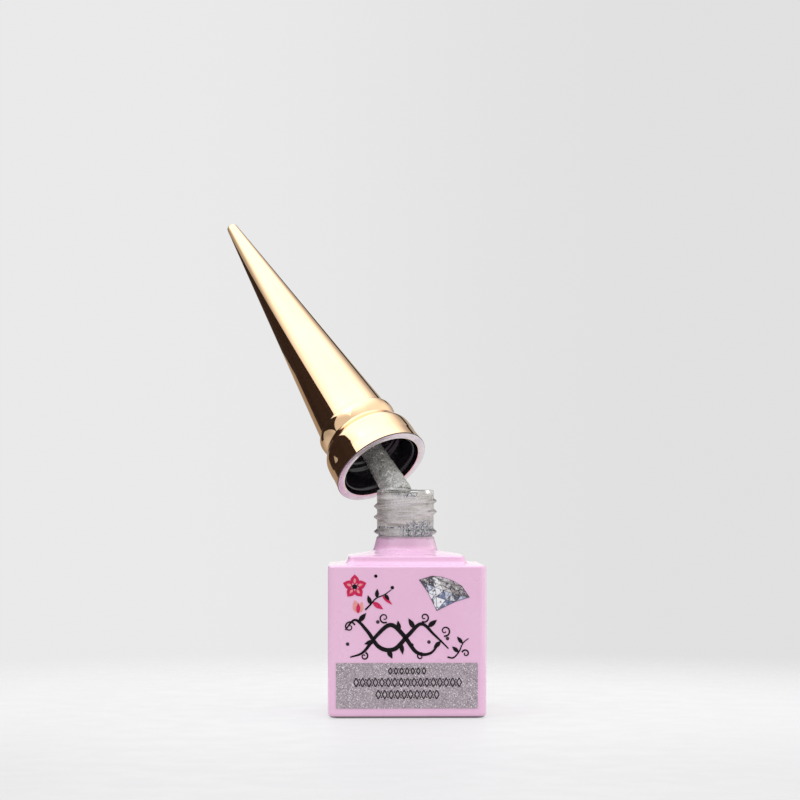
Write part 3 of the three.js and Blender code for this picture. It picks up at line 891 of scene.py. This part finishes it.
def blossom_emblem():
    """A five-petalled blossom over a bud, with a sprig beside them."""
    centre = Vector((-10.5, 26.2))
    petals, cores = [], []
    for index in range(5):
        angle = math.radians(90 + 72 * index)
        direction = Vector((math.cos(angle), math.sin(angle)))
        petals.append(leaf(centre + direction * 0.45, centre + direction * 2.45, 1.75))
        cores.append(leaf(centre + direction * 0.7, centre + direction * 1.7, 0.5))
    printed("blossom_petals", petals, ROSE_INK)
    printed("blossom_cores", cores, BLUSH_INK, lift=0.055, thickness=0.015)
    printed("blossom_heart", [disc(centre, 0.5)], BLACK_INK, lift=0.055, thickness=0.02)
    bud = [leaf((-9.9, 21.0), (-10.5, 23.6), 1.5), leaf((-9.7, 21.0), (-9.0, 23.2), 1.3)]
    printed("bud", bud, BLUSH_INK, thickness=0.025)
    printed("bud_edge", [leaf((-9.8, 20.9), (-9.8, 23.0), 0.8)], ROSE_INK, lift=0.05)
    sprig = stroke_cells([(-8.4, 21.6), (-7.4, 22.6), (-6.2, 23.9), (-4.6, 24.6), (-3.2, 25.6)],
                         lambda share: 0.36 - 0.2 * share)
    leaves = [leaf((-7.3, 22.7), (-7.9, 24.5), 0.85), leaf((-6.1, 24.0), (-6.0, 25.8), 0.8),
              leaf((-4.5, 24.7), (-3.6, 23.4), 0.75)]
    printed("sprig", sprig + leaves, BLACK_INK, lift=0.06)
    printed("sprig_leaves", [leaf((-6.9, 23.1), (-4.8, 21.7), 1.0), leaf((-5.0, 24.4), (-3.0, 22.6), 0.7)],
            ROSE_INK, lift=0.05)
    printed("sprig_buds", [disc((-3.0, 26.0), 0.36), disc((-6.3, 28.3), 0.34)], BLACK_INK)


CROWN_FACETS = 17


def gem_emblem():
    """A cut gem seen from the side, tilted, each facet printed in its own tone."""
    centre = Vector((7.2, 25.3))
    turn = math.radians(-19)

    def placed(x, z):
        return tuple(centre + Vector((x * math.cos(turn) - z * math.sin(turn),
                                      x * math.sin(turn) + z * math.cos(turn))))

    girdle = [placed(x, 0.55 - 0.42 * math.cos(math.radians(x * 17)))
              for x in (-5.3, -3.7, -1.9, 0, 1.9, 3.7, 5.3)]
    crown = [placed(x, z) for x, z in ((-4.2, 1.35), (-2.7, 1.05), (-0.9, 0.95),
                                       (0.9, 0.95), (2.7, 1.05), (4.2, 1.35))]
    table = [placed(x, z) for x, z in ((-3.1, 2.15), (-1.1, 1.75), (1.1, 1.75),
                                       (3.1, 2.15), (1.2, 2.55), (-1.2, 2.55))]
    waist = [placed(x, z) for x, z in ((-2.9, -1.2), (-1.0, -1.5), (1.0, -1.5), (2.9, -1.2))]
    point = placed(0, -4.1)
    cells = [table]
    cells += [[girdle[i], girdle[i + 1], crown[min(i, 5)]] for i in range(6)]
    cells += [[crown[i], girdle[i + 1], crown[i + 1]] for i in range(5)]
    cells += [[crown[0], crown[1], table[0]], [crown[1], crown[2], table[1], table[0]],
              [crown[2], crown[3], table[2], table[1]], [crown[3], crown[4], table[3], table[2]],
              [crown[4], crown[5], table[3]]]
    cells += [[girdle[0], waist[0], girdle[1]], [girdle[1], waist[0], girdle[2]],
              [girdle[2], waist[0], waist[1]], [girdle[2], waist[1], girdle[3]],
              [girdle[3], waist[1], waist[2]], [girdle[3], waist[2], girdle[4]],
              [girdle[4], waist[2], waist[3]], [girdle[4], waist[3], girdle[5]],
              [girdle[5], waist[3], girdle[6]]]
    cells += [[waist[i], point, waist[i + 1]] for i in range(3)]
    crown_tones = [(0.30, 0.27, 0.27), (0.07, 0.06, 0.065), (0.52, 0.48, 0.48), (0.13, 0.11, 0.12),
                   (0.80, 0.78, 0.80)]
    pavilion_tones = [(0.16, 0.19, 0.33), (0.78, 0.79, 0.85), (0.07, 0.07, 0.10), (0.50, 0.53, 0.64),
                      (0.84, 0.83, 0.87), (0.27, 0.30, 0.44), (0.60, 0.60, 0.66)]
    piece = printed("gem_facets", cells, GEM, thickness=0.035)
    layer = piece.data.color_attributes.new("facet_tone", "FLOAT_COLOR", "CORNER")
    face_tones = []
    for index, cell in enumerate(cells):
        tones = crown_tones if index < CROWN_FACETS else pavilion_tones
        face_tones += [tones[index * 3 % len(tones)]] * (2 + len(cell))
    for polygon, tone in zip(piece.data.polygons, face_tones):
        for loop in polygon.loop_indices:
            layer.data[loop].color = (*tone, 1)
    edges = []
    for cell in cells:
        edges += outlined(cell, 0.07)
    printed("gem_lines", edges, SMOKE_INK, lift=0.056, thickness=0.012)


def vine_print():
    """A black flourish across the middle of the front: two long stems, curls and leaves."""
    def swell(share):
        return 0.24 + 0.62 * math.sin(math.pi * share)

    def thin(share):
        return 0.34 - 0.16 * share

    main = [(-12.4, 17.6), (-10.4, 19.6), (-8.0, 17.4), (-5.6, 14.2), (-2.6, 13.8), (0.2, 16.6), (2.8, 18.8),
            (5.4, 16.6), (8.2, 13.9)]
    lower = [(-11.4, 12.2), (-8.8, 13.2), (-6.2, 16.4), (-3.4, 18.6), (-0.8, 16.6), (1.8, 13.2), (4.6, 13.0),
             (6.8, 15.6)]
    trailing = [(8.0, 12.2), (9.2, 12.1), (10.3, 13.3), (11.1, 15.0), (12.2, 15.9)]
    cells = stroke_cells(main, swell, 14) + stroke_cells(lower, swell, 14) + stroke_cells(trailing, thin)
    curls = [((-11.5, 18.2), 1.15, 20, 1.2), ((-4.6, 20.0), 1.05, -60, -1.2), ((3.4, 20.1), 1.0, 240, 1.2),
             ((7.5, 17.4), 1.1, -100, 1.2), ((-8.6, 12.4), 0.8, 70, -1.15), ((2.6, 12.35), 0.75, 60, 1.1),
             ((11.6, 12.9), 0.8, 160, -1.1)]
    for centre, radius, start, turns in curls:
        cells += stroke_cells(spiral(centre, radius, start, turns), thin, 5)
    leaves = [leaf((-9.7, 19.2), (-8.2, 21.0), 1.0), leaf((-6.5, 15.4), (-8.6, 14.8), 0.95),
              leaf((-3.9, 13.7), (-3.0, 11.9), 1.0), leaf((-1.3, 15.0), (-0.9, 12.7), 0.9),
              leaf((1.4, 17.9), (0.2, 19.9), 1.0), leaf((4.1, 18.2), (5.9, 19.6), 1.0),
              leaf((6.6, 15.3), (5.2, 13.9), 0.9), leaf((-1.6, 17.4), (-1.9, 19.5), 0.9),
              leaf((10.2, 13.2), (8.9, 14.3), 0.8), leaf((11.0, 14.9), (9.9, 16.3), 0.75)]
    printed("vine_stems", cells, BLACK_INK, lift=0.04)
    printed("vine_leaves", leaves, BLACK_INK, lift=0.05)
    berries = [(-11.9, 14.8), (-5.9, 19.2), (0.9, 14.6), (8.0, 15.9), (4.3, 15.2)]
    printed("vine_berries", [disc(berry, 0.36) for berry in berries], SMOKE_INK)


# ---------------------------------------------------------------- brush

ROD_END_S = -11.8


def stem_radius(s):
    """Radius of the gel along the brush stem."""
    knots = [(-11.7, 1.5), (-8.7, 1.8), (-8.35, 1.9), (-7.8, 2.75), (-6.0, 2.82), (-4.0, 2.8),
             (-1.0, 2.66), (2.0, 2.5), (10.2, 2.2)]
    for (low, low_radius), (high, high_radius) in zip(knots, knots[1:]):
        if s <= high:
            return low_radius + (high_radius - low_radius) * smooth_share((s - low) / (high - low))
    return knots[-1][1]


def stem_gel():
    """Thick glitter gel dragged up the brush rod."""
    count = 88
    rows = 150
    low, high = -11.65, 10.1
    right = (CAP_PLACE.to_3x3().inverted() @ Vector((1, 0, 0))).normalized()
    rings = [circle_ring(1.16, low, count)]
    for row in range(rows + 1):
        s = low + (high - low) * row / rows
        ring = []
        free = min(max((s + 9.2) / 2, 0), 1) * min(max((8.5 - s) / 4, 0), 1)
        for angle in ring_angles(count):
            around = Vector((math.cos(angle), math.sin(angle), 0))
            spot = Vector((around.x * 1.3, around.y * 1.3, s * 0.55))
            lumps = 0.15 * noise.noise(spot) + 0.06 * noise.noise(spot * 2.7)
            end = min((s - low) / 0.5, 1)
            radius = 1.2 + (stem_radius(s) - 1.2) * math.sqrt(max(end * (2 - end), 0)) + lumps * free
            ring.append(around * radius + right * 0.12 * free + Vector((0, 0, s)))
        rings.append(ring)
    rings.append(circle_ring(1.16, high + 0.05, count))
    vertices, faces = skin(rings, closed=True)
    piece = add_piece("stem_gel_coat", vertices, faces, [STEM_GEL], "cap", CAP_PLACE)
    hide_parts("gel_coat")


def bristles():
    """The tuft: filaments leaving the rod's end along the cap's axis and bending down into the bottle."""
    picker = random.Random(7)
    axis = CAP_AXIS
    root = CAP_MOUTH / MM + axis * (ROD_END_S + 0.25)
    side = axis.cross(Vector((0, 0, 1))).normalized()
    across = axis.cross(side).normalized()
    down = Vector((0, 0, -1))
    upright_across = down.cross(side).normalized()
    vertices, faces = [], []
    sides = 5
    filaments = 190
    for index in range(filaments):
        share = math.sqrt((index + 0.5) / filaments)
        turn = index * 2.39996
        u, v = share * math.cos(turn), share * math.sin(turn)
        length = 11.2 - 0.9 * picker.random() - 0.9 * share ** 2
        belly = 1.5 + 0.12 * picker.random()
        path = []
        for knot in range(4):
            path.append(root - axis * 0.42 * knot + side * u * 0.86 + across * v * 0.86)
        for knot in range(11):
            run = knot / 10
            swell = (belly - 0.9) * math.sin(min(run * 1.25, 1) * math.pi / 2)
            fan = 0.9 + swell - 0.45 * max(run - 0.72, 0) / 0.28
            sideways = side * u * fan + upright_across * v * fan
            path.append(BEND + down * (0.5 + (length - 0.5) * run) + sideways)
        start = len(vertices)
        for knot, spot in enumerate(path):
            ahead = (path[min(knot + 1, len(path) - 1)] - path[max(knot - 1, 0)]).normalized()
            first = ahead.orthogonal().normalized()
            second = ahead.cross(first)
            thick = 0.085 * (1 - 0.45 * knot / (len(path) - 1))
            for corner in range(sides):
                angle = 2 * math.pi * corner / sides
                vertices.append(spot + (first * math.cos(angle) + second * math.sin(angle)) * thick)
        for knot in range(len(path) - 1):
            low, high = start + knot * sides, start + (knot + 1) * sides
            for corner in range(sides):
                after = (corner + 1) % sides
                faces.append([low + corner, low + after, high + after, high + corner])
        faces.append([start + corner for corner in range(sides)])
        last = start + (len(path) - 1) * sides
        faces.append([last + corner for corner in range(sides - 1, -1, -1)])
    piece = linked("bristles", smooth_mesh("bristles", vertices, faces, [BRISTLE]))
    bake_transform(piece)
    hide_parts("bristle_tuft", "bristle_bend")


# ---------------------------------------------------------------- cap

def overcap():
    """The gold cone: spun profile with a belled mouth, a waist and a crease under the cone."""
    rounds = arc((9.97, 0.25), 0.25, -90, 0, 6)
    outside = [(8.75, 0.0)] + rounds + [(10.0, 2.5)]
    outside += bezier(outside[-1], (10.0, 3.6), (9.98, 4.6), (9.86, 5.6), 8)
    outside += bezier(outside[-1], (9.72, 6.7), (9.3, 7.3), (8.5, 8.2), 12)
    outside += bezier(outside[-1], (8.26, 8.45), (8.12, 8.72), (8.22, 9.0), 8)
    outside += bezier(outside[-1], (8.42, 9.8), (8.68, 10.8), (8.62, 11.55), 10)
    outside += bezier(outside[-1], (8.58, 12.0), (8.38, 12.32), (8.02, 12.5), 10)
    outside += [(7.95, 12.6), (7.93, 12.75)]
    base = outside[-1]
    top = (1.22, 74.6)
    steps = 30
    outside += [(base[0] + (top[0] - base[0]) * step / steps, base[1] + (top[1] - base[1]) * step / steps)
                for step in range(1, steps + 1)]
    outside += bezier(top, (1.14, 75.31), (0.85, CAP_LENGTH), (0, CAP_LENGTH), 8)
    inside = [(0, 63.2), (1.2, 62.0), (6.5, 13.8), (7.45, 13.2), (7.45, 6.6), (8.3, 6.4), (8.55, 6.1),
              (8.55, 0.22), (8.6, 0.06)]
    count = 224
    profile = inside + outside
    rings = [circle_ring(radius, height, count) for radius, height in profile]
    vertices, faces = skin(rings)
    piece = add_piece("cone_overcap", vertices, faces, [GOLD, MOUTH_RIM, BLACK, SHADED_MOUTH_EDGE], "cap",
                      CAP_PLACE, sharp_deg=24)
    back = CAP_PLACE.inverted()
    for polygon in piece.data.polygons:
        centre = back @ polygon.center / MM
        reach = math.hypot(centre.x, centre.y)
        if centre.z < 0.03:
            polygon.material_index = 1
        # The rounding of the mouth's outer edge gets the painted shade.
        elif centre.z < 0.26 and reach > 9.9:
            polygon.material_index = 3
        elif reach < 8.7 and 0.1 < centre.z < 6.7:
            polygon.material_index = 2
    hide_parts("overcap")
    return weight_normals(piece)


def inner_cap():
    """The black threaded insert: a flared skirt, then a helical thread up to its flat ceiling."""
    count = 176
    start, turns = 6.7, 1.4
    bore, flare = 6.7, 7.39
    low, ceiling, top, hole = 5.4, 12.0, 12.9, 2.25
    outside = [(8.25, 1.5), (8.25, 6.0), (7.15, 6.05), (7.15, top)]
    inside_low = [(8.24, 1.15), (8.18, 0.94), (8.08, 0.82), (7.98, 0.80), (7.88, 0.86), (7.74, 1.08),
                  (7.58, 1.5), (7.46, 2.2), (7.41, 3.2), (flare, 5.2)]
    profile = [(hole, top)] + outside[::-1] + inside_low
    rings = [circle_ring(radius, height, count) for radius, height in profile]
    rows = 96
    for row in range(rows + 1):
        s = low + (ceiling - low) * row / rows
        wall = flare + (bore - flare) * smooth_share((s - low) / 0.9)
        rings.append(circle_ring(
            lambda angle: wall - 0.42 * helix_ridge(angle, s, 0, turns, start, THREAD_PITCH, 0.6), s, count))
    rings.append(circle_ring(hole, ceiling, count))
    vertices, faces = skin(rings, closed=True)
    piece = add_piece("threaded_inner_cap", vertices, faces, [BLACK], "cap", CAP_PLACE,
                      sharp_deg=50)
    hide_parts("inner_cap")
    return weight_normals(piece)


def sealing_liner():
    profile = filleted([(1.6, 10.42, 0.08), (6.25, 10.42, 0.12), (6.25, 10.98, 0.12), (1.6, 10.98, 0.08)], 4)
    piece = turned("liner_washer", profile, 120, [LINER], "cap", CAP_PLACE, closed=True)
    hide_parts("sealing_liner")


def dress_cad_nodes():
    for node, material in (("brush_rod", ROD), ("anchor_staple", STEEL)):
        mesh = frame["nodes"][node].data
        mesh.materials.clear()
        mesh.materials.append(material)


# ---------------------------------------------------------------- stage, light, camera

def studio_floor():
    count = 96
    radius = 0.36
    mesh = bpy.data.meshes.new("studio_floor")
    mesh.from_pydata([(x, y, 0) for x, y in disc((0, 0), radius, count)], [], [list(range(count))])
    mesh.materials.append(floor_material(0.115, 0.27))
    linked("studio_floor", mesh)


def studio_world():
    """An even grey room to the camera; to the object, a soft-box overhead with darker ends."""
    world = bpy.data.worlds.new("studio")
    world.use_nodes = True
    SCENE.world = world
    tree = world.node_tree
    tree.nodes.clear()

    nodes = NodeTree(tree)
    node, span, combine = nodes.node, nodes.span, nodes.math
    direction = node("ShaderNodeTexCoord").outputs["Generated"]
    split = node("ShaderNodeSeparateXYZ", {"Vector": direction})
    x, y, z = (split.outputs[axis] for axis in "XYZ")
    toward_box = node("ShaderNodeVectorMath", {0: direction, 1: (-0.25, 0.05, 0.967)},
                      operation="DOT_PRODUCT").outputs["Value"]
    box = span(toward_box, 0.46, 0.90, 0.0, 1.65)
    front = span(y, 0.0, -0.6, 0.0, 0.36)
    side = span(x, 0.40, 0.85, 0.0, 1.0)
    backdrop = combine("MULTIPLY", span(combine("ABSOLUTE", x), 0.2, 0.1, 0.0, 0.5),
                       span(y, 0.6, 0.8, 0.0, 1.0))
    gap = combine("MULTIPLY", span(z, 0.0, 0.14, 0.0, 1.0), span(z, 0.56, 0.50, 0.0, 1.0))
    gap = combine("MULTIPLY", gap, span(y, 0.45, 0.62, 0.0, 0.92))
    gap = combine("MULTIPLY", gap, span(x, -0.1, -0.2, 0.0, 1.0))
    light = combine("ADD", combine("ADD", combine("ADD", box, front), combine("ADD", side, backdrop)), 0.47)
    light = combine("MULTIPLY", light, combine("SUBTRACT", 1.0, gap))
    path = node("ShaderNodeLightPath").outputs
    dimming = combine("MULTIPLY", path["Is Diffuse Ray"], span(z, 0.1, 0.9, 0.30, 0.04))
    light = combine("MULTIPLY", light, combine("SUBTRACT", 1.0, dimming))
    tint = node("ShaderNodeValToRGB", {"Fac": span(toward_box, 0.42, 0.90, 0.0, 1.0)})
    for element, color in zip(tint.color_ramp.elements, ((1.0, 0.99, 0.975, 1), (0.97, 0.975, 1.05, 1))):
        element.color = color
    warmth = combine("MULTIPLY", span(x, -0.15, -0.35, 0.0, 1.0), span(z, 0.1, -0.02, 0.0, 1.0))
    warmth = combine("MULTIPLY", warmth, span(y, 0.4, 0.6, 0.0, 1.0))
    warmed = node("ShaderNodeMix", {0: warmth, 6: tint.outputs["Color"], 7: (0.85, 0.70, 0.54, 1)},
                  data_type="RGBA")
    lit = node("ShaderNodeBackground", {"Color": warmed.outputs[2], "Strength": light})
    seen = node("ShaderNodeBackground", {"Color": (1.0, 1.0, 1.0, 1),
                                         "Strength": span(x, -0.08, 0.14, 0.82, 0.75)})
    shown = node("ShaderNodeMixShader", {0: path["Is Camera Ray"], 1: lit.outputs[0], 2: seen.outputs[0]})
    node("ShaderNodeOutputWorld", {"Surface": shown.outputs[0]})


def flag(name, corners):
    """A black card seen only in reflections."""
    mesh = bpy.data.meshes.new(name)
    mesh.from_pydata(corners, [], [list(range(len(corners)))])
    shader = Shader(name + "_board", Specular_IOR_Level=0.1)
    board = [(0.3, (0.022, 0.014, 0.012)), (0.7, (0.034, 0.021, 0.018))]
    shader.toned(20, 2, board)
    mesh.materials.append(shader.material)
    piece = linked(name, mesh)
    piece.visible_camera = False
    piece.visible_diffuse = False
    piece.visible_shadow = False
    piece.visible_transmission = False


def flags():
    """One flag to the left, which draws the cone's long dark band, and a narrow one behind and above."""
    left = -0.085
    outline = [(-0.03, 0.050), (0.03, 0.050), (0.045, 0.029), (0.079, 0.029), (0.081, 0.066), (0.20, 0.070),
               (0.20, 0.104), (-0.03, 0.101)]
    flag("side_flag", [(left, y, z) for y, z in outline])
    rear = 0.10
    board = ((-0.06, 0.106), (0.06, 0.106), (0.06, 0.126), (-0.06, 0.126))
    flag("rear_flag", [(x, rear, z) for x, z in board])


def soft_box(name, position, target, size, power, color):
    lamp = bpy.data.lights.new(name, "AREA")
    lamp.shape = "RECTANGLE"
    lamp.size, lamp.size_y = size
    lamp.energy = power
    lamp.color = color
    holder = linked(name, lamp)
    toward = Vector(target) - Vector(position)
    holder.location = position
    holder.rotation_euler = toward.to_track_quat("-Z", "Y").to_euler()


def photo_camera():
    lens = bpy.data.cameras.new("photo_camera")
    lens.lens = 100
    lens.sensor_width = 36
    holder = linked("photo_camera", lens)
    holder.location = (-0.012, -0.460, 0.04366)
    holder.rotation_euler = (math.radians(92.551), 0, -0.0237)
    SCENE.camera = holder


glass_bottle()
lacquer_coat()
gel_fill()
neck_film()
rim_pool()
front_label()
band_prints()
blossom_emblem()
gem_emblem()
vine_print()
stem_gel()
bristles()
overcap()
inner_cap()
sealing_liner()
dress_cad_nodes()
studio_floor()
flags()
studio_world()
soft_box("key_box", (-0.25, -0.35, 0.45), (0, 0, 0.04), (0.25, 0.2), 0.12, (1.0, 0.985, 0.96))
photo_camera()
SCENE.view_settings.view_transform = "Standard"

bpy.context.view_layer.update()
